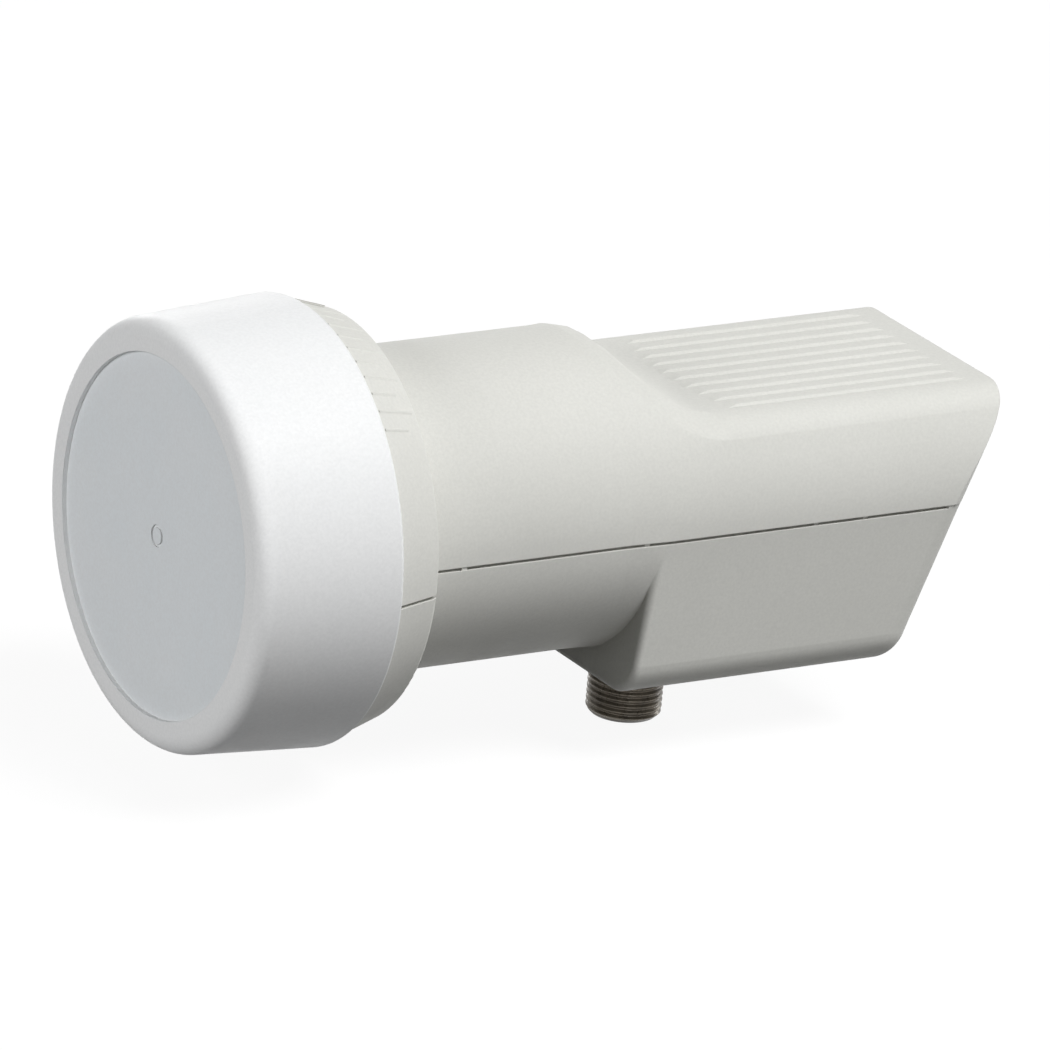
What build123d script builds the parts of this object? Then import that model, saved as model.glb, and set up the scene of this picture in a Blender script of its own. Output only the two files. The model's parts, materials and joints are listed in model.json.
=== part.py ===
from build123d import *
import os
from math import atan, cos, degrees, radians, sin, sqrt, tan

os.makedirs("parts", exist_ok=True)

# Satellite low-noise block, in millimetres.
# X runs along the feed axis from the cap to the rear, Z is up, and the origin is the middle of the neck.

# Neck and the two half shells
neck_diameter = 40.0
neck_length = 30.5
shell_wall = 2.0
seam_height = -0.8
seam_gap = 0.4
seam_depth = 0.9
seam_rear_margin = 3.4
seam_tab_length = 0.7
seam_tab_setback = 0.1
neck_tab_run = 7.0
body_tab_runs = (2.4, 26.8, 34.0)

# Flange behind the cap
flange_length = 6.2
flange_height = 5.5
flange_taper = 1.9
flange_edge_round = 0.6
flange_seam_drop = 0.75
spigot_length = 6.0
spigot_step = 0.9
spigot_wall = 1.9
scale_line_count = 19
scale_line_angle = 5.25
scale_line_width = 0.6
scale_line_height = 0.12
scale_line_sink = 0.02
scale_line_margin = 0.25
scale_line_rear_margins = (2.15, 0.65)

# Cap over the horn
cap_length = 18.95
cap_overhang = 0.45
cap_draft = 1.2
cap_wall = 1.6
cap_fit = 0.1
cap_front_round = 2.4
cap_rear_round = 0.4
cap_rim_width = 4.15
cap_recess_depth = 0.6
gate_radius = 1.4
gate_line = 0.35
gate_depth = 0.2

# Rear body
body_growth = 0.35
body_ramp = 6.0
scoop_run = 15.2
scoop_radius = 12.4
crown_round = 4.8
rear_angle = 22.5
rear_room = 3.5
box_front_setback = 4.3
box_front_angle = 4.0
box_front_round = 0.8
box_side_angle = 5.2
box_rear_angle = 18.0
box_bottom_round = 5.0
box_corner = 3.6
inner_round = 0.5
rib_count = 10
rib_side_margin = 3.0
rib_width = 1.3
rib_crest = 0.4
rib_height = 0.25
rib_fade = 1.6
rib_front_margin = 0.3
rib_front_arc = 50.0
rib_rear_margin = 3.2

# Waveguide casting
waveguide_radius = 8.74
waveguide_wall = 1.46
waveguide_room = 0.65
waveguide_end_wall = 1.6
horn_fit = 0.1
horn_plate = 2.0
horn_plate_setback = 2.5
horn_ring_count = 2
horn_ring_wall = 1.5
horn_ring_stagger = 1.5
tube_setback = 3.0
collar_inset = 3.2
collar_width = 3.0
collar_fit = 0.1
tray_room = 0.3
tray_front_room = 0.3
tray_length = 31.82
tray_wall = 1.0
tray_plate = 1.8
tray_depth = 5.88
boss_radius = 2.0
boss_inset = 2.6

# Seals, lid and screws
cap_seal_thickness = 0.7
cap_seal_width = 1.4
lid_gasket_thickness = 0.4
lid_thickness = 1.0
lid_screw_radius = 0.9
lid_screw_head = 1.7
lid_screw_reach = 3.0
screw_fit = 0.1

# Board and what it carries; a spot is measured from the board's front edge and from its middle,
# or from its edge on the -Y side for crystal, regulator and capacitors
board_thickness = 0.8
board_fit = 0.3
board_screw_radius = 0.8
board_screw_head = 1.6
board_screw_head_height = 0.8
board_screw_reach = 1.3
board_screw_inset = 2.2
probe_radius = 0.4
probe_tail = 0.5
probe_depth = 5.2
probe_standoff = 1.2
bead_radius = 1.5
bead_fit = 0.05
pin_radius = 0.6
pin_bite = 0.9
vertical_probe_run = 12.0
horizontal_probe_inset = 3.55
backshort_run = 5.5
transistor_size = (1.6, 1.2, 0.7)
transistor_spots = ((8.8, 6.0), (12.3, 6.0), (8.8, -6.0))
chip_size = (4.0, 4.0, 0.9)
chip_spot = (16.0, 0.0)
crystal_size = (3.2, 2.5, 0.8)
crystal_spot = (16.0, 6.9)
regulator_size = (4.5, 2.6, 1.5)
regulator_tab = (1.6, 1.0, 0.4)
regulator_spot = (6.6, 3.3)
capacitor_size = (1.0, 0.5, 0.5)
capacitor_pitch = (2.2, 1.6)
capacitor_grid = (3, 3)
capacitor_spot = (13.0, 2.9)
absorber_width = 14.0
absorber_thickness = 1.0
absorber_inset = 4.0
absorber_room = 1.8

# F connector
connector_run = 14.05
connector_diameter = 9.52
connector_reach = 9.37
connector_bore = 3.1
connector_chamfer = 0.6
connector_shoulder = 0.6
connector_flange_radius = 6.4
connector_flange = 1.3
connector_fit = 0.15
connector_seal_width = 1.5
seal_thickness = 0.7
insulator_fit = 0.1
insulator_recess = 0.5
contact_radius = 1.1
contact_bore = 0.45
contact_bore_depth = 6.0
contact_tail_radius = 0.4
contact_fit = 0.1

# Stations along the axis
neck_radius = neck_diameter / 2
neck_front = -neck_length / 2
neck_rear = neck_length / 2
cap_seat = neck_front - flange_length
cap_front = cap_seat - cap_length
cap_disc = cap_front + cap_recess_depth
cap_inside = cap_disc + cap_wall
spigot_front = cap_seat - spigot_length
scoop_foot = neck_rear + scoop_run
connector_x = neck_rear + connector_run

# Radii of flange, cap and horn seat
flange_rear_radius = neck_radius + flange_height
flange_front_radius = flange_rear_radius + flange_taper
spigot_radius = flange_front_radius - spigot_step
seat_radius = spigot_radius - spigot_wall
cap_rear_radius = flange_front_radius + cap_overhang
cap_front_radius = cap_rear_radius - cap_draft
cap_recess_radius = cap_front_radius - cap_rim_width
horn_rim_radius = seat_radius - horn_fit
body_radius = neck_radius + body_growth
connector_radius = connector_diameter / 2
shoulder_radius = connector_radius + connector_shoulder
connector_hole = shoulder_radius + connector_fit

# Levels from the waveguide up to the flat top and down to the floor of the box
tube_radius = waveguide_radius + waveguide_wall
flat_height = tube_radius + waveguide_room + shell_wall
flat_half = sqrt(body_radius**2 - flat_height**2)
rib_pitch = (2 * (flat_half - rib_side_margin) - rib_width) / (rib_count - 1)
board_level = -(tube_radius + tray_plate)
board_bottom = board_level - board_thickness
gasket_level = board_level - tray_depth
lid_top = gasket_level - lid_gasket_thickness
lid_bottom = lid_top - lid_thickness
floor_top = lid_bottom - seal_thickness
box_bottom = floor_top - shell_wall
connector_tip = box_bottom - connector_reach

# Seam of the shells
upper_rim = seam_height + seam_gap / 2
lower_rim = seam_height - seam_gap / 2

# Tray and rear wall
front_lean = tan(radians(box_front_angle))
box_front = neck_rear + box_front_setback
side_lean = tan(radians(box_side_angle))
tray_front = box_front + shell_wall - waveguide_radius * front_lean + tray_front_room
tray_rear = tray_front + tray_length
floor_round = box_bottom_round - shell_wall
floor_round_run = floor_round - sqrt(floor_round**2 - (floor_round - seal_thickness)**2)
tray_half = body_radius + lid_bottom * side_lean - shell_wall - floor_round_run - tray_room
rear_lean = tan(radians(rear_angle))
box_rear_lean = tan(radians(box_rear_angle))
box_rear_wall = shell_wall / cos(radians(box_rear_angle))
box_rear = tray_rear + rear_room + box_rear_wall - (lid_bottom - upper_rim) * box_rear_lean
rear_x = box_rear - upper_rim * rear_lean

# Board outline between the bosses
board_front = tray_front + boss_inset + boss_radius + board_fit
board_rear = tray_rear - boss_inset - boss_radius - board_fit
board_x = (board_front + board_rear) / 2
board_length = board_rear - board_front
board_half = tray_half - tray_wall - board_fit
boss_x = ((tray_front + boss_inset), (tray_rear - boss_inset))
boss_y = tray_half - boss_inset
boss_spots = [(x, y) for x in boss_x for y in (-boss_y, boss_y)]
board_screw_spots = [(board_front + board_screw_inset, y) for y in
                     (board_screw_inset - board_half, board_half - board_screw_inset)]

# Probe stations, with the pin midway between the two probes
vertical_probe_x = tray_front + vertical_probe_run
horizontal_probe_x = board_rear - horizontal_probe_inset
horizontal_probe_y = tube_radius + probe_standoff
pin_x = (vertical_probe_x + horizontal_probe_x) / 2
tube_end = horizontal_probe_x + backshort_run + waveguide_end_wall

# The rear wall leans back, and its plane carries the rounded plan of the rear corners
lean = radians(rear_angle)
rear_plane = Plane(origin=(rear_x, 0, 0), x_dir=(cos(lean), 0, -sin(lean)), z_dir=(sin(lean), 0, cos(lean)))
beyond = rear_x + 2 * body_radius
tall = 4 * body_radius


def turned(points, soft=None, radius=0):
    """Solid turned about X from points (x, r), with one corner softened."""
    with BuildPart() as body:
        with BuildSketch(Plane.XZ) as profile:
            with BuildLine():
                Polyline(*points, close=True)
            make_face()
            if soft is not None:
                fillet(profile.vertices().sort_by_distance((soft[0], soft[1], 0))[0], radius)
        revolve(axis=Axis.X)
    return body.part


def round_body(inset):
    """Spigot, flange, neck and rear body as one turned solid, moved in from the outside by inset."""
    return turned(
        [
            (spigot_front, 0),
            (spigot_front, spigot_radius - inset),
            (cap_seat + inset, spigot_radius - inset),
            (cap_seat + inset, flange_front_radius - inset),
            (neck_front - inset, flange_rear_radius - inset),
            (neck_front - inset, neck_radius - inset),
            (neck_rear, neck_radius - inset),
            (neck_rear + body_ramp, body_radius - inset),
            (beyond, body_radius - inset),
            (beyond, 0),
        ],
        (neck_front - inset, flange_rear_radius - inset),
        flange_edge_round,
    )


def top_cut(inset):
    """What is taken off above the flat top, with the hollow ramp that leads down to it from the neck."""
    centre = flat_height + scoop_radius
    reach = scoop_radius + inset
    with BuildPart() as cut:
        with BuildSketch(Plane.XZ):
            with BuildLine():
                CenterArc((scoop_foot, centre), reach, 180, 90)
                Polyline(
                    (scoop_foot, flat_height - inset),
                    (beyond + tall, flat_height - inset),
                    (beyond + tall, tall),
                    (scoop_foot - reach, tall),
                    (scoop_foot - reach, centre),
                )
            make_face()
        extrude(amount=tall, both=True)
    return cut.part


def rear_cut(inset, spread):
    """What is taken off behind the leaning rear wall, with rounded corners in plan."""
    corner = max(box_corner - inset, inner_round) + spread
    half = body_radius - inset + spread
    with BuildPart() as cut:
        with BuildSketch(rear_plane):
            with Locations((tall / 2 - inset - corner, 0)):
                Rectangle(tall, 2 * tall)
            with BuildSketch(rear_plane, mode=Mode.SUBTRACT) as kept:
                with Locations((-inset - tall / 2, 0)):
                    Rectangle(tall, 2 * half)
                fillet(kept.vertices().group_by(Axis.X)[-1], corner)
        extrude(amount=tall, both=True)
    return cut.part


def box_plan(level, inset):
    """Plan of the connector box at one level, before its edges are rounded."""
    front = box_front + level * front_lean + inset
    rear = box_rear + (level - upper_rim) * box_rear_lean - inset / cos(radians(box_rear_angle))
    with BuildSketch(Plane.XY.offset(level)) as plan:
        with Locations(((front + rear) / 2, 0)):
            Rectangle(rear - front, 2 * (body_radius + level * side_lean - inset))
    return plan.sketch.faces()[0]


def connector_box(inset):
    """Box under the rear body: leaning walls, soft bottom edges, a crisper edge round the front."""
    with BuildPart() as box:
        loft([box_plan(upper_rim, inset), box_plan(box_bottom + inset, inset)], ruled=True)
        bottom = box.faces().sort_by(Axis.Z)[0]
        fillet(bottom.edges().filter_by(Axis.X), max(box_bottom_round - inset, inner_round))
        rear = box.faces().sort_by(Axis.X)[-1]
        fillet(rear.edges().sort_by(Axis.Z)[:-1], max(box_corner - inset, inner_round))
        front = box.faces().sort_by(Axis.X)[0]
        fillet(front.edges().sort_by(Axis.Z)[:-1], max(box_front_round - inset, inner_round))
    return box.part


def below_seam(form, level):
    """What of a solid lies below a level, which steps down at the flange."""
    with BuildPart() as kept:
        add(form)
        split(bisect_by=Plane.XY.offset(level), keep=Keep.BOTTOM)
        with Locations((neck_front, 0, level)):
            Box(
                tall,
                2 * tall,
                2 * flange_seam_drop,
                align=(Align.MAX, Align.CENTER, Align.CENTER),
                mode=Mode.SUBTRACT,
            )
    return kept.part


neck_cavity = turned(
    [
        (spigot_front - spigot_length, 0),
        (spigot_front - spigot_length, seat_radius),
        (neck_front - shell_wall, seat_radius),
        (neck_front - shell_wall, neck_radius - shell_wall),
        (neck_rear, neck_radius - shell_wall),
        (neck_rear + body_ramp, body_radius - shell_wall),
        (beyond, body_radius - shell_wall),
        (beyond, 0),
    ]
)

# Upper half shell
with BuildPart() as upper_cavity:
    add(neck_cavity)
    add(top_cut(shell_wall), mode=Mode.SUBTRACT)
    add(rear_cut(shell_wall, body_growth), mode=Mode.SUBTRACT)

with BuildPart() as upper_housing:
    add(round_body(0))
    add(below_seam(round_body(0), upper_rim), mode=Mode.SUBTRACT)
    add(top_cut(0), mode=Mode.SUBTRACT)
    crown = upper_housing.edges(Select.LAST).filter_by(Axis.Y, reverse=True)
    crown = crown.filter_by_position(Axis.X, neck_front, beyond - body_radius / 2)
    fillet(crown, crown_round)
    add(rear_cut(0, body_growth), mode=Mode.SUBTRACT)
    add(upper_cavity.part, mode=Mode.SUBTRACT)
    # low ribs on the flat top, with front ends on an arc and both ends fading out
    rib_rear = rear_x + flat_height * rear_lean - rib_rear_margin
    for step in range(rib_count):
        rib_y = (step - (rib_count - 1) / 2) * rib_pitch
        rib_front = scoop_foot + rib_front_margin + rib_front_arc - sqrt(rib_front_arc**2 - rib_y**2)
        rib_middle = ((rib_front + rib_rear) / 2, rib_y)
        with BuildSketch(Plane.XY.offset(flat_height)):
            with Locations(rib_middle):
                Rectangle(rib_rear - rib_front, rib_width)
        with BuildSketch(Plane.XY.offset(flat_height + rib_height)):
            with Locations(rib_middle):
                Rectangle(rib_rear - rib_front - 2 * rib_fade, rib_crest)
        loft(ruled=True)
    # scale on the flange, short and long marks by turns, with sides that slope into the flange
    line_drop = scale_line_height + scale_line_sink
    line_slope = degrees(atan(2 * line_drop / scale_line_width))
    scale_planes = [
        Plane.XZ.rotated(((step - (scale_line_count - 1) / 2) * scale_line_angle, 0, 0))
        for step in range(scale_line_count)
    ]
    flange_slope = flange_taper / flange_length
    line_front = cap_seat + scale_line_margin
    front_r = flange_front_radius - flange_slope * scale_line_margin
    for turn, rear_margin in enumerate(scale_line_rear_margins):
        line_rear = neck_front - rear_margin
        rear_r = flange_rear_radius + flange_slope * rear_margin
        with BuildSketch(*scale_planes[turn :: len(scale_line_rear_margins)]):
            with BuildLine():
                Polyline(
                    (line_front, front_r - 2 * line_drop),
                    (line_front, front_r + scale_line_height),
                    (line_rear, rear_r + scale_line_height),
                    (line_rear, rear_r - 2 * line_drop),
                    close=True,
                )
            make_face()
        extrude(amount=scale_line_width / 2, both=True, taper=line_slope)
upper_housing.part.label = "upper_housing"
export_step(upper_housing.part, "parts/upper_housing.step")

# Lower half shell
def lower_form(inset):
    """Lower half of flange and neck, with the box behind it, moved in from the outside by inset."""
    front = round_body(inset)
    box = connector_box(inset)
    with BuildPart() as form:
        add(front)
        split(bisect_by=Plane.YZ.offset(box_front + inset + box_front_round), keep=Keep.BOTTOM)
        split(bisect_by=Plane.XY.offset(upper_rim), keep=Keep.BOTTOM)
        add(box)
    return form.part


with BuildPart() as lower_cavity:
    add(neck_cavity)
    split(bisect_by=Plane.YZ.offset(box_front + 2 * shell_wall), keep=Keep.BOTTOM)
    add(connector_box(shell_wall))

# The open groove of the seam ends before the rear wall, and short tabs bridge it along the sides
with BuildPart() as seam_rear:
    add(connector_box(0))
    split(bisect_by=Plane.YZ.offset(rear_x + seam_height * rear_lean - seam_rear_margin), keep=Keep.TOP)
    split(bisect_by=Plane.XY.offset(lower_rim), keep=Keep.TOP)

with BuildPart() as lower_housing:
    add(below_seam(lower_form(0), lower_rim))
    add(below_seam(lower_form(seam_depth), upper_rim))
    add(seam_rear.part)
    tab_spots = [(neck_front + neck_tab_run, neck_radius)]
    tab_spots += [(neck_rear + run, neck_radius) for run in body_tab_runs]
    for tab_x, tab_r in tab_spots:
        tab_y = tab_r - seam_tab_setback - seam_depth / 2
        with Locations((tab_x, -tab_y, seam_height), (tab_x, tab_y, seam_height)):
            Box(seam_tab_length, seam_depth, seam_gap)
    add(lower_cavity.part, mode=Mode.SUBTRACT)
    with Locations((connector_x, 0, floor_top)):
        Hole(connector_hole, depth=2 * shell_wall)
lower_housing.part.label = "lower_housing"
export_step(lower_housing.part, "parts/lower_housing.step")

# Cap
with BuildPart() as feed_cap:
    with BuildSketch(Plane.XZ) as cap_profile:
        with BuildLine():
            Polyline(
                (cap_disc, 0),
                (cap_disc, cap_recess_radius),
                (cap_front, cap_recess_radius),
                (cap_front, cap_front_radius),
                (cap_seat, cap_rear_radius),
                (cap_seat, spigot_radius + cap_fit),
                (spigot_front - cap_fit, spigot_radius + cap_fit),
                (spigot_front - cap_fit, cap_front_radius - cap_wall),
                (cap_inside, cap_front_radius - cap_wall),
                (cap_inside, 0),
                close=True,
            )
        make_face()
        fillet(cap_profile.vertices().sort_by_distance((cap_front, cap_front_radius, 0))[0], cap_front_round)
        fillet(cap_profile.vertices().sort_by_distance((cap_seat, cap_rear_radius, 0))[0], cap_rear_round)
    revolve(axis=Axis.X)
    with BuildSketch(Plane.YZ.offset(cap_disc)):
        Circle(gate_radius)
        Circle(gate_radius - gate_line, mode=Mode.SUBTRACT)
    extrude(amount=gate_depth, mode=Mode.SUBTRACT)
feed_cap.part.label = "feed_cap"
export_step(feed_cap.part, "parts/feed_cap.step")

# Horn, waveguide and tray, cast as one
horn_front = cap_inside + cap_seal_thickness
plate_front = spigot_front + horn_plate_setback
ring_step = (horn_rim_radius - tube_radius) / (horn_ring_count + 1)

with BuildPart() as waveguide_casting:
    with BuildSketch(Plane.XZ):
        with BuildLine():
            Polyline(
                (horn_front + tube_setback, 0),
                (horn_front + tube_setback, tube_radius),
                (tube_end, tube_radius),
                (tube_end, 0),
                close=True,
            )
        make_face()
    revolve(axis=Axis.X)
    with BuildSketch(Plane.YZ.offset(plate_front)):
        Circle(horn_rim_radius)
    extrude(amount=horn_plate)
    with BuildSketch(Plane.YZ.offset(horn_front)):
        Circle(horn_rim_radius)
        Circle(horn_rim_radius - horn_ring_wall, mode=Mode.SUBTRACT)
    extrude(amount=plate_front - horn_front)
    for ring in range(horn_ring_count):
        ring_radius = horn_rim_radius - (ring + 1) * ring_step
        ring_front = horn_front + (ring + 1) * horn_ring_stagger
        with BuildSketch(Plane.YZ.offset(ring_front)):
            Circle(ring_radius)
            Circle(ring_radius - horn_ring_wall, mode=Mode.SUBTRACT)
        extrude(amount=plate_front - ring_front)
    for collar_x in (neck_front + collar_inset, neck_rear - collar_inset - collar_width):
        with BuildSketch(Plane.YZ.offset(collar_x)):
            Circle(neck_radius - shell_wall - collar_fit)
        extrude(amount=collar_width)
    # tray with its plate under the tube
    tray_middle = (tray_front + tray_rear) / 2
    with BuildSketch(Plane.XY.offset(gasket_level)):
        with Locations((tray_middle, 0)):
            Rectangle(tray_length, 2 * tray_half)
            Rectangle(tray_length - 2 * tray_wall, 2 * (tray_half - tray_wall), mode=Mode.SUBTRACT)
    extrude(amount=tray_depth)
    with BuildSketch(Plane.XY.offset(board_level)):
        with Locations((tray_middle, 0)):
            Rectangle(tray_length, 2 * tray_half)
    extrude(amount=tray_plate + waveguide_wall)
    with BuildSketch(Plane.XY.offset(lid_top)):
        with Locations(*boss_spots):
            Circle(boss_radius)
    extrude(amount=board_level - lid_top)
    # waveguide bore, closed at its rear end
    with BuildSketch(Plane.YZ.offset(horn_front)):
        Circle(waveguide_radius)
    extrude(amount=tube_end - waveguide_end_wall - horn_front, mode=Mode.SUBTRACT)
    # holes of the lid screws, the board screws, the probes and the pin
    with BuildSketch(Plane.XY.offset(lid_top)):
        with Locations(*boss_spots):
            Circle(lid_screw_radius + screw_fit)
    extrude(amount=lid_screw_reach + screw_fit, mode=Mode.SUBTRACT)
    with BuildSketch(Plane.XY.offset(board_level)):
        with Locations(*board_screw_spots):
            Circle(board_screw_radius + screw_fit)
    extrude(amount=board_screw_reach + screw_fit, mode=Mode.SUBTRACT)
    with BuildSketch(Plane.XY.offset(board_level)):
        with Locations((vertical_probe_x, 0), (horizontal_probe_x, horizontal_probe_y)):
            Circle(bead_radius + bead_fit)
    extrude(amount=tray_plate + 2 * waveguide_wall, mode=Mode.SUBTRACT)
    with BuildSketch(Plane.XZ.offset(-waveguide_radius / 2)):
        with Locations((horizontal_probe_x, 0)):
            Circle(bead_radius + bead_fit)
    extrude(amount=-tube_radius, mode=Mode.SUBTRACT)
    with BuildSketch(Plane.XY):
        with Locations((pin_x, 0)):
            Circle(pin_radius + bead_fit)
    extrude(amount=waveguide_radius + pin_bite, both=True, mode=Mode.SUBTRACT)
waveguide_casting.part.label = "waveguide_casting"
export_step(waveguide_casting.part, "parts/waveguide_casting.step")

# Seal between the horn's rim and the cap
with BuildPart() as cap_seal:
    with BuildSketch(Plane.YZ.offset(cap_inside)):
        Circle(horn_rim_radius)
        Circle(horn_rim_radius - cap_seal_width, mode=Mode.SUBTRACT)
    extrude(amount=cap_seal_thickness)
cap_seal.part.label = "cap_seal"
export_step(cap_seal.part, "parts/cap_seal.step")

# Lid of the tray, with countersunk holes and a hole for the connector
with BuildPart() as chassis_lid:
    with BuildSketch(Plane.XY.offset(lid_bottom)):
        with Locations((tray_middle, 0)):
            Rectangle(tray_length, 2 * tray_half)
        with Locations((connector_x, 0)):
            Circle(connector_hole, mode=Mode.SUBTRACT)
    extrude(amount=lid_thickness)
    for spot in boss_spots:
        with Locations((spot[0], spot[1], lid_bottom + lid_thickness / 2)):
            Cone(
                lid_screw_head + screw_fit,
                lid_screw_radius + screw_fit,
                lid_thickness,
                mode=Mode.SUBTRACT,
            )
chassis_lid.part.label = "chassis_lid"
export_step(chassis_lid.part, "parts/chassis_lid.step")

with BuildPart() as lid_gasket:
    with BuildSketch(Plane.XY.offset(lid_top)):
        with Locations((tray_middle, 0)):
            Rectangle(tray_length, 2 * tray_half)
            Rectangle(tray_length - 2 * tray_wall, 2 * (tray_half - tray_wall), mode=Mode.SUBTRACT)
        with Locations(*boss_spots):
            Circle(boss_radius + screw_fit, mode=Mode.SUBTRACT)
    extrude(amount=lid_gasket_thickness)
lid_gasket.part.label = "lid_gasket"
export_step(lid_gasket.part, "parts/lid_gasket.step")

with BuildPart() as lid_screws:
    for spot in boss_spots:
        with Locations((spot[0], spot[1], lid_bottom + lid_thickness / 2)):
            Cone(lid_screw_head, lid_screw_radius, lid_thickness)
        with Locations((spot[0], spot[1], lid_top + lid_screw_reach / 2)):
            Cylinder(lid_screw_radius, lid_screw_reach)
lid_screws.part.label = "lid_screws"
export_step(lid_screws.part, "parts/lid_screws.step")

# Circuit board with its holes
with BuildPart() as circuit_board:
    with BuildSketch(Plane.XY.offset(board_bottom)):
        with Locations((board_x, 0)):
            Rectangle(board_length, 2 * board_half)
        with Locations(*board_screw_spots):
            Circle(board_screw_radius + screw_fit, mode=Mode.SUBTRACT)
        with Locations((vertical_probe_x, 0), (horizontal_probe_x, horizontal_probe_y)):
            Circle(probe_radius + bead_fit, mode=Mode.SUBTRACT)
    extrude(amount=board_thickness)
circuit_board.part.label = "circuit_board"
export_step(circuit_board.part, "parts/circuit_board.step")

with BuildPart() as board_screws:
    for spot in board_screw_spots:
        with Locations((spot[0], spot[1], board_bottom - board_screw_head_height / 2)):
            Cylinder(board_screw_head, board_screw_head_height)
        with Locations((spot[0], spot[1], board_bottom + (board_thickness + board_screw_reach) / 2)):
            Cylinder(board_screw_radius, board_thickness + board_screw_reach)
board_screws.part.label = "board_screws"
export_step(board_screws.part, "parts/board_screws.step")

# Probes, their beads and the pin between them
probe_foot = board_bottom - probe_tail
probe_top = probe_depth - waveguide_radius

with BuildPart() as vertical_probe:
    with BuildSketch(Plane.XY.offset(probe_foot)):
        with Locations((vertical_probe_x, 0)):
            Circle(probe_radius)
    extrude(amount=probe_top - probe_foot)
vertical_probe.part.label = "vertical_probe"
export_step(vertical_probe.part, "parts/vertical_probe.step")

with BuildPart() as horizontal_probe:
    with BuildSketch(Plane.XY.offset(probe_foot)):
        with Locations((horizontal_probe_x, horizontal_probe_y)):
            Circle(probe_radius)
    extrude(amount=-probe_foot)
    with Locations((horizontal_probe_x, horizontal_probe_y, 0)):
        Sphere(probe_radius)
    with BuildSketch(Plane.XZ.offset(probe_top)):
        with Locations((horizontal_probe_x, 0)):
            Circle(probe_radius)
    extrude(amount=-horizontal_probe_y - probe_top)
horizontal_probe.part.label = "horizontal_probe"
export_step(horizontal_probe.part, "parts/horizontal_probe.step")

with BuildPart() as probe_beads:
    with BuildSketch(Plane.XY.offset(board_level)):
        with Locations((vertical_probe_x, 0)):
            Circle(bead_radius)
            Circle(probe_radius + bead_fit, mode=Mode.SUBTRACT)
    extrude(amount=-board_level - waveguide_radius)
    with BuildSketch(Plane.XY.offset(board_level)):
        with Locations((horizontal_probe_x, horizontal_probe_y)):
            Circle(bead_radius)
            Circle(probe_radius + bead_fit, mode=Mode.SUBTRACT)
    extrude(amount=tray_plate + waveguide_wall)
    with BuildSketch(Plane.XZ.offset(-waveguide_radius)):
        with Locations((horizontal_probe_x, 0)):
            Circle(bead_radius)
            Circle(probe_radius + bead_fit, mode=Mode.SUBTRACT)
    extrude(amount=-waveguide_wall)
probe_beads.part.label = "probe_beads"
export_step(probe_beads.part, "parts/probe_beads.step")

with BuildPart() as isolation_pin:
    with BuildSketch(Plane.XY):
        with Locations((pin_x, 0)):
            Circle(pin_radius)
    extrude(amount=waveguide_radius + pin_bite, both=True)
isolation_pin.part.label = "isolation_pin"
export_step(isolation_pin.part, "parts/isolation_pin.step")

# Components under the board
with BuildPart() as lna_transistors:
    for spot in transistor_spots:
        with Locations((board_front + spot[0], spot[1], board_bottom - transistor_size[2] / 2)):
            Box(*transistor_size)
lna_transistors.part.label = "lna_transistors"
export_step(lna_transistors.part, "parts/lna_transistors.step")

with BuildPart() as downconverter_ic:
    with Locations((board_front + chip_spot[0], chip_spot[1], board_bottom - chip_size[2] / 2)):
        Box(*chip_size)
downconverter_ic.part.label = "downconverter_ic"
export_step(downconverter_ic.part, "parts/downconverter_ic.step")

with BuildPart() as reference_crystal:
    crystal_y = crystal_spot[1] - board_half
    with Locations((board_front + crystal_spot[0], crystal_y, board_bottom - crystal_size[2] / 2)):
        Box(*crystal_size)
reference_crystal.part.label = "reference_crystal"
export_step(reference_crystal.part, "parts/reference_crystal.step")

with BuildPart() as voltage_regulator:
    regulator_x = board_front + regulator_spot[0]
    regulator_y = regulator_spot[1] - board_half
    tab_y = regulator_y - (regulator_size[1] + regulator_tab[1]) / 2
    with Locations((regulator_x, regulator_y, board_bottom - regulator_size[2] / 2)):
        Box(*regulator_size)
    with Locations((regulator_x, tab_y, board_bottom - regulator_tab[2] / 2)):
        Box(*regulator_tab)
voltage_regulator.part.label = "voltage_regulator"
export_step(voltage_regulator.part, "parts/voltage_regulator.step")

with BuildPart() as chip_capacitors:
    capacitor_y = capacitor_spot[1] - board_half
    with Locations((board_front + capacitor_spot[0], capacitor_y, board_bottom - capacitor_size[2] / 2)):
        with GridLocations(capacitor_pitch[0], capacitor_pitch[1], capacitor_grid[0], capacitor_grid[1]):
            Box(*capacitor_size)
chip_capacitors.part.label = "chip_capacitors"
export_step(chip_capacitors.part, "parts/chip_capacitors.step")

with BuildPart() as absorber_pad:
    absorber_front = connector_x + connector_flange_radius + absorber_room
    absorber_rear = tray_rear - tray_wall - absorber_inset
    with Locations(((absorber_front + absorber_rear) / 2, 0, lid_top + absorber_thickness / 2)):
        Box(absorber_rear - absorber_front, absorber_width, absorber_thickness)
absorber_pad.part.label = "absorber_pad"
export_step(absorber_pad.part, "parts/absorber_pad.step")

# F connector: its flange sits on the lid, and the barrel goes out through lid, seal and floor
flange_top = lid_top + connector_flange
insulator_bottom = connector_tip + insulator_recess
insulator_radius = connector_bore - insulator_fit

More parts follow.
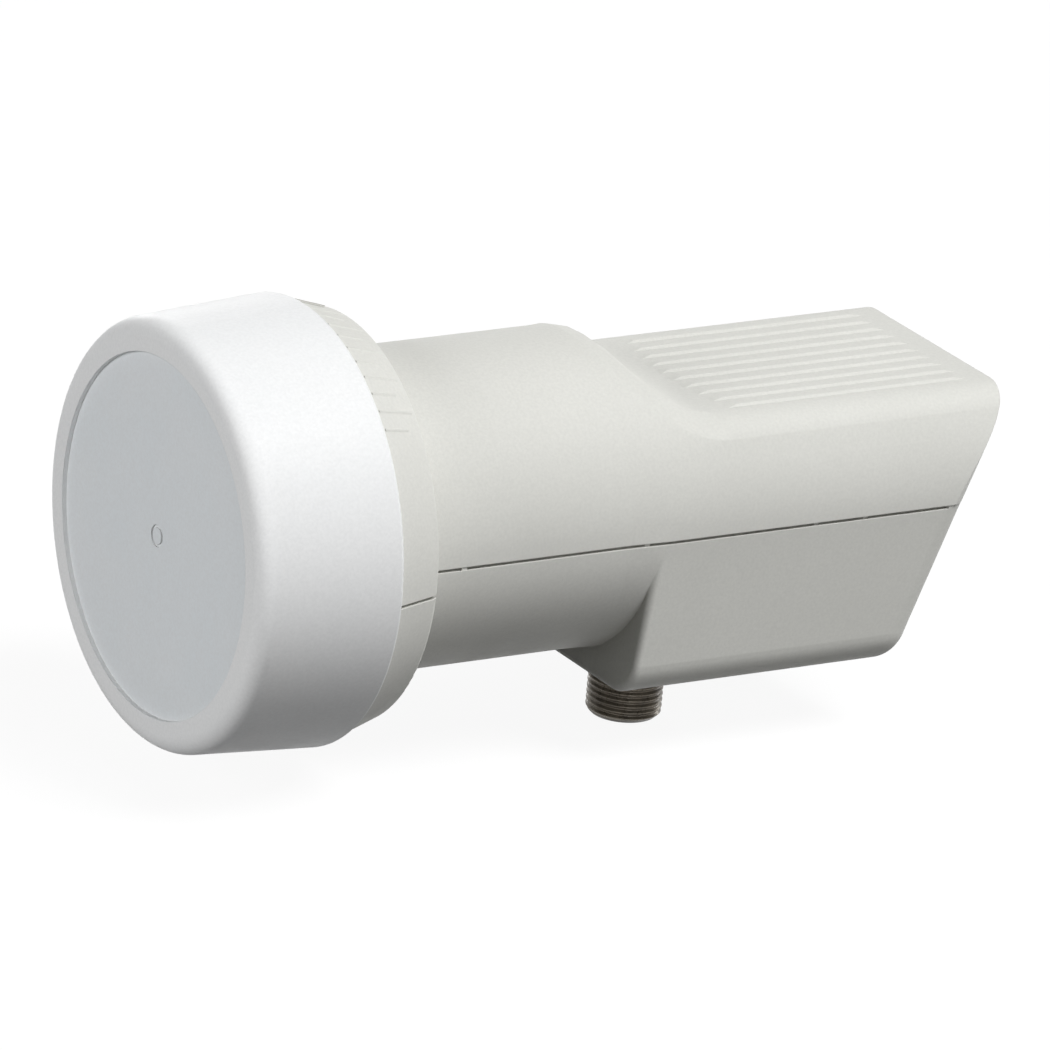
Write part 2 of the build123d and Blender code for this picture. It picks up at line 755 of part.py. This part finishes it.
with BuildPart() as connector_barrel:
    with BuildSketch(Plane.XY.offset(connector_tip)):
        with Locations((connector_x, 0)):
            Circle(connector_radius)
    extrude(amount=flange_top - connector_tip)
    chamfer(connector_barrel.edges().sort_by(Axis.Z)[0], connector_chamfer)
    with BuildSketch(Plane.XY.offset(box_bottom)):
        with Locations((connector_x, 0)):
            Circle(shoulder_radius)
    extrude(amount=lid_top - box_bottom)
    with BuildSketch(Plane.XY.offset(lid_top)):
        with Locations((connector_x, 0)):
            Circle(connector_flange_radius)
    extrude(amount=connector_flange)
    with BuildSketch(Plane.XY.offset(connector_tip)):
        with Locations((connector_x, 0)):
            Circle(connector_bore)
    extrude(amount=flange_top - connector_tip, mode=Mode.SUBTRACT)
connector_barrel.part.label = "connector_barrel"
export_step(connector_barrel.part, "parts/connector_barrel.step")

with BuildPart() as connector_insulator:
    with BuildSketch(Plane.XY.offset(insulator_bottom)):
        with Locations((connector_x, 0)):
            Circle(insulator_radius)
            Circle(contact_radius + contact_fit, mode=Mode.SUBTRACT)
    extrude(amount=flange_top - insulator_bottom)
connector_insulator.part.label = "connector_insulator"
export_step(connector_insulator.part, "parts/connector_insulator.step")

with BuildPart() as connector_contact:
    with BuildSketch(Plane.XY.offset(insulator_bottom)):
        with Locations((connector_x, 0)):
            Circle(contact_radius)
    extrude(amount=flange_top - insulator_bottom)
    with BuildSketch(Plane.XY.offset(flange_top)):
        with Locations((connector_x, 0)):
            Circle(contact_tail_radius)
    extrude(amount=board_bottom - flange_top)
    with BuildSketch(Plane.XY.offset(insulator_bottom)):
        with Locations((connector_x, 0)):
            Circle(contact_bore)
    extrude(amount=contact_bore_depth, mode=Mode.SUBTRACT)
connector_contact.part.label = "connector_contact"
export_step(connector_contact.part, "parts/connector_contact.step")

with BuildPart() as connector_seal:
    with BuildSketch(Plane.XY.offset(floor_top)):
        with Locations((connector_x, 0)):
            Circle(connector_hole + connector_seal_width)
            Circle(connector_hole, mode=Mode.SUBTRACT)
    extrude(amount=seal_thickness)
connector_seal.part.label = "connector_seal"
export_step(connector_seal.part, "parts/connector_seal.step")
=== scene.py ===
import json
import math

import bpy
import bmesh
from mathutils import Matrix, Vector


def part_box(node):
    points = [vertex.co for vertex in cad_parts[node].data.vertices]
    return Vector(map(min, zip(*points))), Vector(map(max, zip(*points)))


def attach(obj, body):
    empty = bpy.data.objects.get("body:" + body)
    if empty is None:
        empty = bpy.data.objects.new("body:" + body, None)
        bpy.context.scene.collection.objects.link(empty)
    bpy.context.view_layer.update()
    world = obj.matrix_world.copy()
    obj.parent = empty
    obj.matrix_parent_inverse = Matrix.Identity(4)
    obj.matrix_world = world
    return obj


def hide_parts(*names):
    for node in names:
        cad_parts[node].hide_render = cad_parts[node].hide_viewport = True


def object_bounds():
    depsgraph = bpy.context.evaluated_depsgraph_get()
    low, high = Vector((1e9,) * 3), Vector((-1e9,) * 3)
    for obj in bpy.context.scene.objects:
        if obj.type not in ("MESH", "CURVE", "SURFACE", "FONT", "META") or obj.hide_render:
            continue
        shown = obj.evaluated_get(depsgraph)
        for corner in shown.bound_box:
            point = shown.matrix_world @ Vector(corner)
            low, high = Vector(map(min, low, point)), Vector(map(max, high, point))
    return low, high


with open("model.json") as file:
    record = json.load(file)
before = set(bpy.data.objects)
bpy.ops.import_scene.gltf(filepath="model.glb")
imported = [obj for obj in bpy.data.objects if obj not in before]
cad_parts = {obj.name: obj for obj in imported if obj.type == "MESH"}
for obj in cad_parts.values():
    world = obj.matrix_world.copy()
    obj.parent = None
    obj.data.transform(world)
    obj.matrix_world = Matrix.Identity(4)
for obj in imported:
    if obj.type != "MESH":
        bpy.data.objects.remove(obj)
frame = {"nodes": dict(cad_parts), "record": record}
cad_low, cad_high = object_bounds()
nodes = frame["nodes"]

MM = 0.001

# Camera at the photograph's viewing angle, with angles in degrees
CAMERA_AZIMUTH = -32.546
CAMERA_ELEVATION = 20.027
CAMERA_ROLL = 5.032
CAMERA_DISTANCE = 1449.072 * MM
CAMERA_AIM_X = 29.25 * MM
CAMERA_SLIDE = -14.709 * MM
CAMERA_RISE = -6.231 * MM
SENSOR_WIDTH = 36.0
FOCAL_PIXELS = 11730.445
IMAGE_WIDTH = 1050
CLIP_START = 0.05
CLIP_END = 50.0

# Connector thread, 32 turns to the inch, level at crest and root for a share of each flank
THREAD_PITCH = 25.4 / 32 * MM
THREAD_DEPTH = 0.3 * MM
THREAD_LEVEL = 0.12
THREAD_ROWS = 16
THREAD_SEGMENTS = 144
THREAD_RUNOUT = 0.5 * MM
TIP_CHAMFER = 0.6 * MM
SAME_RADIUS = 0.1 * MM
SHARP_ANGLE = 50

# Floor and lamps; a lamp's row is name, azimuth and elevation in degrees, side in metres, strength
FLOOR_HALF = 6.0
FLOOR_GAP = 0.02 * MM
FLOOR_COLOUR = 0.11
FLOOR_GLOW = 0.92
LAMP_DISTANCE = 1.2
LAMPS = (
    ("key", 30, 56, 0.5, 0.935),
    ("front", -90, 16, 0.55, 0.53),
    ("fill", -10, 8, 0.3, 0.15),
    ("rear", 98, 8, 0.5, 0.25),
    ("back", 165, 12, 0.4, 0.18),
)

# Noise: scales are in features a metre, and most values lie in the range given here
NOISE_LOW = 0.3
NOISE_HIGH = 0.7
CLOUD_DETAIL = 3.0

# Corners and grooves: reach, largest share of the second tone, openness where it is full and gone
# In wide corners the second tone is painted shade
WIDE_CORNER_SHADE = dict(reach=16 * MM, share=0.92, full=0.3, gone=0.69, own=True)
NARROW_GROOVE = dict(reach=0.7 * MM, share=1.0, full=0.1, gone=0.4)
THREAD_GROOVE = dict(reach=0.7 * MM, share=0.9, full=0.35, gone=0.85)
HOLLOW_SAMPLES = 4

# Moulded plastic; each corner tone is painted shade for wide corners
MOULDED_SPECULAR = 0.08
CLOUD_SCALE = 45
DISC_RADIUS = 22.5 * MM
DISC_BLUR = 0.1 * MM
DISC_CLOUD_SCALE = 90
SPECK_SCALE = 2600
SPECK_SHARE = 0.3
SPECK_TONE = 0.82
MOULDED_GLOSS_SCALE = 300
MOULDED_GLOSS_SPREAD = 0.05
GRAIN_RELIEF = 0.012 * MM
GRAIN_STRENGTH = 0.35
EDGE_RADIUS = 0.15 * MM
EDGE_SAMPLES = 6
MOULDED = {
    "housing_grey": dict(
        light=(0.75, 0.75, 0.711), dark=(0.72, 0.72, 0.681), corner=(0.16, 0.15, 0.125),
        rough=0.5, grain=5200),
    "cap_white": dict(
        light=(0.9, 0.905, 0.905), dark=(0.88, 0.89, 0.895), corner=(0.78, 0.78, 0.77),
        rough=0.42, grain=4200, disc=((0.83, 0.86, 0.88), (0.81, 0.85, 0.875))),
}

# Metals
TARNISH_SCALE = 420
TARNISH_DETAIL = 4.0
STREAK_DETAIL = 3.0
STREAK_GLOSS_SCALE = 1500
STREAK_RELIEF_SCALE = 2200
METAL_NOISE_ROUGHNESS = 0.6
METAL_SMOOTHER = 0.08
METAL_ROUGHER = 0.1
GROOVE_TONE = 0.25
RELIEF_STRENGTH = 0.4
METALS = {
    "connector_metal": dict(
        light=(0.3, 0.26, 0.2), dark=(0.1, 0.085, 0.065), rough=0.3,
        streak=(1, 1, 0.3), relief=0.015 * MM, metallic=0.3, groove=THREAD_GROOVE),
    "contact_brass": dict(
        light=(0.8, 0.6, 0.28), dark=(0.66, 0.47, 0.2), rough=0.24,
        streak=(1, 1, 0.2), relief=0.006 * MM),
    "die_cast": dict(
        light=(0.62, 0.63, 0.64), dark=(0.5, 0.51, 0.52), rough=0.5,
        streak=(1, 1, 1), relief=0.03 * MM),
    "lid_metal": dict(
        light=(0.68, 0.69, 0.7), dark=(0.58, 0.59, 0.6), rough=0.34,
        streak=(0.08, 1, 1), relief=0.012 * MM),
    "screw_steel": dict(
        light=(0.56, 0.57, 0.59), dark=(0.46, 0.47, 0.5), rough=0.28,
        streak=(1, 1, 0.3), relief=0.008 * MM),
}

# Rubber, ceramic, chips and other matte pieces
MATTE_SPECULAR = 0.35
MATTE_GLOSS_FINER = 2
MATTE_GLOSS_SPREAD = 0.06
MATTE_RELIEF_FINER = 5
MATTES = {
    "insulator_white": dict(
        light=(0.85, 0.85, 0.82), dark=(0.78, 0.78, 0.74), rough=0.5, scale=500, relief=0.01 * MM),
    "seal_rubber": dict(
        light=(0.05, 0.05, 0.05), dark=(0.035, 0.035, 0.037), rough=0.72, scale=700, relief=0.02 * MM),
    "chip_black": dict(
        light=(0.042, 0.042, 0.046), dark=(0.03, 0.03, 0.033), rough=0.5, scale=1500, relief=0.01 * MM),
    "capacitor_tan": dict(
        light=(0.55, 0.45, 0.33), dark=(0.48, 0.38, 0.27), rough=0.45, scale=1500, relief=0.01 * MM),
    "absorber_grey": dict(
        light=(0.13, 0.13, 0.14), dark=(0.08, 0.08, 0.085), rough=0.85, scale=900, relief=0.08 * MM),
}

# Circuit board
BOARD_SPECULAR = 0.5
TRACK_SCALE = 480
TRACK_EDGE = (0.04, 0.08)
TRACK_RELIEF = 0.03 * MM
TRACK_STRENGTH = 0.5
TRACK_COLOUR = (0.07, 0.28, 0.12)
MASK_SCALE = 260
MASK_LIGHT = (0.03, 0.17, 0.07)
MASK_DARK = (0.025, 0.13, 0.06)
BOARD_GLOSS_SCALE = 900
BOARD_GLOSS = (0.3, 0.42)


def put(name, data):
    """Adds an object to the scene."""
    obj = bpy.data.objects.new(name, data)
    bpy.context.scene.collection.objects.link(obj)
    return obj


def empty_tree(owner):
    """The node tree of a new material or world, with nothing in it."""
    owner.use_nodes = True
    owner.node_tree.nodes.clear()
    return owner.node_tree


def outward(azimuth, elevation):
    """Direction away from the part: azimuth 0 is towards -Y, 90 towards +X."""
    a, e = math.radians(azimuth), math.radians(elevation)
    return Vector((math.sin(a) * math.cos(e), -math.cos(a) * math.cos(e), math.sin(e)))


def camera():
    """Camera of the photograph: aimed at a point on the feed axis, rolled, then slid across."""
    azimuth, roll = math.radians(CAMERA_AZIMUTH), math.radians(CAMERA_ROLL)
    back = outward(CAMERA_AZIMUTH, CAMERA_ELEVATION)
    level = Vector((math.cos(azimuth), math.sin(azimuth), 0.0))
    upright = back.cross(level)
    right = math.cos(roll) * level + math.sin(roll) * upright
    up = math.cos(roll) * upright - math.sin(roll) * level
    place = Vector((CAMERA_AIM_X, 0.0, 0.0))
    place += back * CAMERA_DISTANCE + right * CAMERA_SLIDE + up * CAMERA_RISE
    data = bpy.data.cameras.new("camera")
    data.sensor_width = SENSOR_WIDTH
    data.lens = SENSOR_WIDTH * FOCAL_PIXELS / IMAGE_WIDTH
    data.clip_start = CLIP_START
    data.clip_end = CLIP_END
    obj = put("camera", data)
    turn = Matrix((right, up, back)).transposed().to_4x4()
    obj.matrix_world = Matrix.Translation(place) @ turn
    bpy.context.scene.camera = obj


class Surface:
    """A node material with one Principled shader and a few helpers for its procedural detail."""

    def __init__(self, name, **settings):
        self.material = bpy.data.materials.new(name)
        tree = empty_tree(self.material)
        self.nodes = tree.nodes
        self.links = tree.links
        self.shader = self.add("ShaderNodeBsdfPrincipled")
        output = self.add("ShaderNodeOutputMaterial")
        self.link(self.shader.outputs["BSDF"], output.inputs["Surface"])
        self.place = self.add("ShaderNodeTexCoord").outputs["Object"]
        for key, value in settings.items():
            self.shader.inputs[key.replace("_", " ")].default_value = value

    def add(self, kind, **settings):
        node = self.nodes.new(kind)
        for key, value in settings.items():
            setattr(node, key, value)
        return node

    def link(self, start, end):
        self.links.new(start, end)

    def noise(self, scale, detail=2.0, roughness=0.5, stretch=None):
        """Noise between about 0 and 1 in the object's own frame."""
        node = self.add("ShaderNodeTexNoise")
        node.inputs["Scale"].default_value = scale
        node.inputs["Detail"].default_value = detail
        node.inputs["Roughness"].default_value = roughness
        source = self.place
        if stretch is not None:
            mapping = self.add("ShaderNodeMapping")
            mapping.inputs["Scale"].default_value = stretch
            self.link(self.place, mapping.inputs["Vector"])
            source = mapping.outputs["Vector"]
        self.link(source, node.inputs["Vector"])
        return node.outputs["Fac"]

    def off_axis(self):
        """Distance from the feed axis."""
        across = self.add("ShaderNodeVectorMath", operation="MULTIPLY")
        across.inputs[1].default_value = (0, 1, 1)
        self.link(self.place, across.inputs[0])
        length = self.add("ShaderNodeVectorMath", operation="LENGTH")
        self.link(across.outputs["Vector"], length.inputs[0])
        return length.outputs["Value"]

    def span(self, value, low, high, start=NOISE_LOW, stop=NOISE_HIGH):
        """Maps a value from start..stop to low..high."""
        node = self.add("ShaderNodeMapRange")
        for key, number in (("From Min", start), ("From Max", stop), ("To Min", low), ("To Max", high)):
            node.inputs[key].default_value = number
        self.link(value, node.inputs["Value"])
        return node.outputs["Result"]

    def hollow(self, reach, share, full, gone, own=False):
        """Share of a second tone in corners and grooves; own leaves other pieces out."""
        node = self.add("ShaderNodeAmbientOcclusion", samples=HOLLOW_SAMPLES, only_local=own)
        node.inputs["Distance"].default_value = reach
        return self.span(node.outputs["AO"], share, 0.0, full, gone)

    def blend(self, factor, first, second):
        """Mixes two colours, each a tuple or a socket."""
        node = self.add("ShaderNodeMix", data_type="RGBA")
        self.link(factor, node.inputs["Factor"])
        for source, key in ((first, "A"), (second, "B")):
            socket = [s for s in node.inputs if s.name == key and s.type == "RGBA"][0]
            if isinstance(source, tuple):
                socket.default_value = (*source, 1.0)
            else:
                self.link(source, socket)
        return [s for s in node.outputs if s.type == "RGBA"][0]

    def cloud(self, scale, light, dark, detail=CLOUD_DETAIL, roughness=0.5):
        """Two tones mixed by noise."""
        return self.blend(self.span(self.noise(scale, detail, roughness), 0.0, 1.0), light, dark)

    def colour(self, socket):
        self.link(socket, self.shader.inputs["Base Color"])

    def roughness(self, socket):
        self.link(socket, self.shader.inputs["Roughness"])

    def bump(self, height, distance, strength, edge=None):
        """Fine relief, with the edges softened first where edge gives a radius."""
        node = self.add("ShaderNodeBump")
        node.inputs["Distance"].default_value = distance
        node.inputs["Strength"].default_value = strength
        self.link(height, node.inputs["Height"])
        if edge is not None:
            soft = self.add("ShaderNodeBevel", samples=EDGE_SAMPLES)
            soft.inputs["Radius"].default_value = edge
            self.link(soft.outputs["Normal"], node.inputs["Normal"])
        self.link(node.outputs["Normal"], self.shader.inputs["Normal"])


def shade(colour, tone):
    """A colour made darker."""
    return tuple(tone * channel for channel in colour)


def moulded(name, light, dark, corner, rough, grain, disc=None):
    """Moulded plastic: clouds, specks and grain, painted shade in wide corners, none in narrow grooves.

    corner is the tone of that painted shade. disc gives the two tones of the cap's disc.
    """
    s = Surface(name, Specular_IOR_Level=MOULDED_SPECULAR)
    tone = s.cloud(CLOUD_SCALE, light, dark)
    if disc is not None:
        inside = s.span(s.off_axis(), 1.0, 0.0, DISC_RADIUS - DISC_BLUR, DISC_RADIUS + DISC_BLUR)
        tone = s.blend(inside, tone, s.cloud(DISC_CLOUD_SCALE, *disc))
    specks = s.span(s.noise(SPECK_SCALE), 0.0, SPECK_SHARE)
    tone = s.blend(specks, tone, shade(dark, SPECK_TONE))
    # painted shade: wide corners take the dark corner tone
    tone = s.blend(s.hollow(**WIDE_CORNER_SHADE), tone, corner)
    s.colour(s.blend(s.hollow(**NARROW_GROOVE), tone, dark))
    gloss = s.noise(MOULDED_GLOSS_SCALE)
    s.roughness(s.span(gloss, rough - MOULDED_GLOSS_SPREAD, rough + MOULDED_GLOSS_SPREAD))
    s.bump(s.noise(grain), GRAIN_RELIEF, GRAIN_STRENGTH, EDGE_RADIUS)
    return s.material


def metal(name, light, dark, rough, streak, relief, metallic=1.0, groove=None):
    """Bare or plated metal: tone varied by tarnish, gloss by fine streaks, grooves darker."""
    s = Surface(name, Metallic=metallic)
    tone = s.cloud(TARNISH_SCALE, light, dark, TARNISH_DETAIL, METAL_NOISE_ROUGHNESS)
    if groove is not None:
        tone = s.blend(s.hollow(**groove), tone, shade(dark, GROOVE_TONE))
    s.colour(tone)
    gloss = s.noise(STREAK_GLOSS_SCALE, STREAK_DETAIL, METAL_NOISE_ROUGHNESS, streak)
    s.roughness(s.span(gloss, rough - METAL_SMOOTHER, rough + METAL_ROUGHER))
    height = s.noise(STREAK_RELIEF_SCALE, STREAK_DETAIL, METAL_NOISE_ROUGHNESS, streak)
    s.bump(height, relief, RELIEF_STRENGTH)
    return s.material


def matte(name, light, dark, rough, scale, relief):
    """Rubber, ceramic, moulded chips and the like."""
    s = Surface(name, Specular_IOR_Level=MATTE_SPECULAR)
    s.colour(s.cloud(scale, light, dark))
    gloss = s.noise(scale * MATTE_GLOSS_FINER)
    s.roughness(s.span(gloss, rough - MATTE_GLOSS_SPREAD, rough + MATTE_GLOSS_SPREAD))
    s.bump(s.noise(scale * MATTE_RELIEF_FINER), relief, RELIEF_STRENGTH)
    return s.material


def board():
    """Solder mask over a web of fine tracks."""
    s = Surface("board_green", Specular_IOR_Level=BOARD_SPECULAR)
    cells = s.add("ShaderNodeTexVoronoi", feature="DISTANCE_TO_EDGE", distance="MANHATTAN")
    cells.inputs["Scale"].default_value = TRACK_SCALE
    s.link(s.place, cells.inputs["Vector"])
    track = s.span(cells.outputs["Distance"], 1.0, 0.0, *TRACK_EDGE)
    s.colour(s.blend(track, s.cloud(MASK_SCALE, MASK_LIGHT, MASK_DARK), TRACK_COLOUR))
    s.roughness(s.span(s.noise(BOARD_GLOSS_SCALE), *BOARD_GLOSS))
    s.bump(track, TRACK_RELIEF, TRACK_STRENGTH)
    return s.material


def ring(mesh, radius, z, centre):
    """One ring of vertices; radius is a number or a function of the turn angle."""
    row = []
    for k in range(THREAD_SEGMENTS):
        turn = 2 * math.pi * k / THREAD_SEGMENTS
        r = radius(turn) if callable(radius) else radius
        row.append(mesh.verts.new((centre.x + r * math.cos(turn), centre.y + r * math.sin(turn), z)))
    return row


def limited(share):
    """A share kept between 0 and 1."""
    return min(max(share, 0.0), 1.0)


def thread_radius(z, turn, tip, top, outside):
    """Outside of the barrel at one height and angle: a V thread that runs out at the top.

    A chamfer cuts it back at the tip.
    """
    phase = ((z - tip) / THREAD_PITCH + turn / (2 * math.pi)) % 1.0
    flank = (abs(2 * phase - 1) - THREAD_LEVEL) / (1 - 2 * THREAD_LEVEL)
    cut = THREAD_DEPTH * limited(flank) * limited((top - z) / THREAD_RUNOUT)
    chamfer = outside - TIP_CHAMFER + (z - tip)
    return min(outside - cut, chamfer)


def threaded_barrel():
    """The connector's barrel with its real thread, on the places of the CAD barrel."""
    low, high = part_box("connector_barrel")
    pin = [m for m in frame["record"]["mounts"] if m["name"] == "f_connector"][0]
    outside = pin["dims"]["r_mm"] * MM
    centre = Vector(((low.x + high.x) / 2, (low.y + high.y) / 2, 0))
    spots = [(math.hypot(v.co.x - centre.x, v.co.y - centre.y), v.co.z)
             for v in nodes["connector_barrel"].data.vertices]
    bore = min(r for r, z in spots)
    flange = max(r for r, z in spots)
    flange_low = min(z for r, z in spots if r > flange - SAME_RADIUS)
    wide = [(r, z) for r, z in spots if outside + SAME_RADIUS < r < flange - SAME_RADIUS]
    shoulder = max(r for r, z in wide)
    shoulder_low = min(z for r, z in wide)

    mesh = bmesh.new()
    tip, top = low.z, shoulder_low
    steps = round((top - tip) / THREAD_PITCH * THREAD_ROWS)
    rows = [ring(mesh, bore, tip, centre)]
    for k in range(steps + 1):
        z = tip + (top - tip) * k / steps
        rows.append(ring(mesh, lambda turn, z=z: thread_radius(z, turn, tip, top, outside), z, centre))
    for radius, z in ((shoulder, top), (shoulder, flange_low), (flange, flange_low),
                      (flange, high.z), (bore, high.z)):
        rows.append(ring(mesh, radius, z, centre))
    for first, second in zip(rows, rows[1:] + rows[:1]):
        for k in range(THREAD_SEGMENTS):
            n = (k + 1) % THREAD_SEGMENTS
            mesh.faces.new((first[k], first[n], second[n], second[k]))
    bmesh.ops.recalc_face_normals(mesh, faces=mesh.faces)
    data = bpy.data.meshes.new("connector_thread")
    mesh.to_mesh(data)
    mesh.free()
    data.shade_smooth()
    data.set_sharp_from_angle(angle=math.radians(SHARP_ANGLE))
    obj = put("connector_thread", data)
    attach(obj, "root")
    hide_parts("connector_barrel")
    return obj


def dress(thread):
    """Gives each node and the connector's thread its material."""
    slots = {"board_green": board()}
    for make, rows in ((moulded, MOULDED), (metal, METALS), (matte, MATTES)):
        for slot, row in rows.items():
            slots[slot] = make(slot, **row)
    for row in frame["record"]["subparts"]:
        for holder in nodes[row["node"]].material_slots:
            holder.material = slots[row["material_slot"]]
    thread.data.materials.append(slots["connector_metal"])


def direct_view(tree):
    """1 for what the camera, a reflection or clear material sees, 0 for light that bounces on."""
    path = tree.nodes.new("ShaderNodeLightPath")
    first = tree.nodes.new("ShaderNodeMath")
    second = tree.nodes.new("ShaderNodeMath")
    first.operation = second.operation = "MAXIMUM"
    tree.links.new(path.outputs["Is Camera Ray"], first.inputs[0])
    tree.links.new(path.outputs["Is Glossy Ray"], first.inputs[1])
    tree.links.new(first.outputs["Value"], second.inputs[0])
    tree.links.new(path.outputs["Is Transmission Ray"], second.inputs[1])
    return second.outputs["Value"]


def pale_floor():
    """Floor just under the part: it glows almost white where it is seen, and keeps the shadow."""
    mesh = bmesh.new()
    z = cad_low.z - FLOOR_GAP
    corners = [(-1, -1), (1, -1), (1, 1), (-1, 1)]
    mesh.faces.new([mesh.verts.new((x * FLOOR_HALF, y * FLOOR_HALF, z)) for x, y in corners])
    data = bpy.data.meshes.new("floor")
    mesh.to_mesh(data)
    mesh.free()
    floor = put("floor", data)

    paint = bpy.data.materials.new("floor")
    tree = empty_tree(paint)
    level = tree.nodes.new("ShaderNodeMath")
    level.operation = "MULTIPLY"
    level.inputs[1].default_value = FLOOR_GLOW
    glow = tree.nodes.new("ShaderNodeEmission")
    flat = tree.nodes.new("ShaderNodeBsdfDiffuse")
    flat.inputs["Color"].default_value = (FLOOR_COLOUR, FLOOR_COLOUR, FLOOR_COLOUR, 1)
    both = tree.nodes.new("ShaderNodeAddShader")
    output = tree.nodes.new("ShaderNodeOutputMaterial")
    tree.links.new(direct_view(tree), level.inputs[0])
    tree.links.new(level.outputs["Value"], glow.inputs["Strength"])
    tree.links.new(flat.outputs["BSDF"], both.inputs[0])
    tree.links.new(glow.outputs["Emission"], both.inputs[1])
    tree.links.new(both.outputs["Shader"], output.inputs["Surface"])
    data.materials.append(paint)


def surround():
    """White surround that adds no light of its own."""
    world = bpy.data.worlds.new("surround")
    bpy.context.scene.world = world
    tree = empty_tree(world)
    sky = tree.nodes.new("ShaderNodeBackground")
    sky.inputs["Color"].default_value = (1, 1, 1, 1)
    output = tree.nodes.new("ShaderNodeOutputWorld")
    tree.links.new(direct_view(tree), sky.inputs["Strength"])
    tree.links.new(sky.outputs["Background"], output.inputs["Surface"])


def lamp(name, azimuth, elevation, size, strength):
    """Square soft lamp aimed at the part; at strength 1 a white surface facing it renders white."""
    away = outward(azimuth, elevation)
    data = bpy.data.lights.new(name, "AREA")
    data.shape = "SQUARE"
    data.size = size
    data.energy = strength * math.pi * math.pi * LAMP_DISTANCE**2
    obj = put(name, data)
    obj.location = (cad_low + cad_high) / 2 + away * LAMP_DISTANCE
    obj.rotation_mode = "QUATERNION"
    obj.rotation_quaternion = away.to_track_quat("Z", "Y")


camera()
dress(threaded_barrel())
pale_floor()
surround()
for row in LAMPS:
    lamp(*row)
bpy.context.scene.view_settings.view_transform = "Standard"
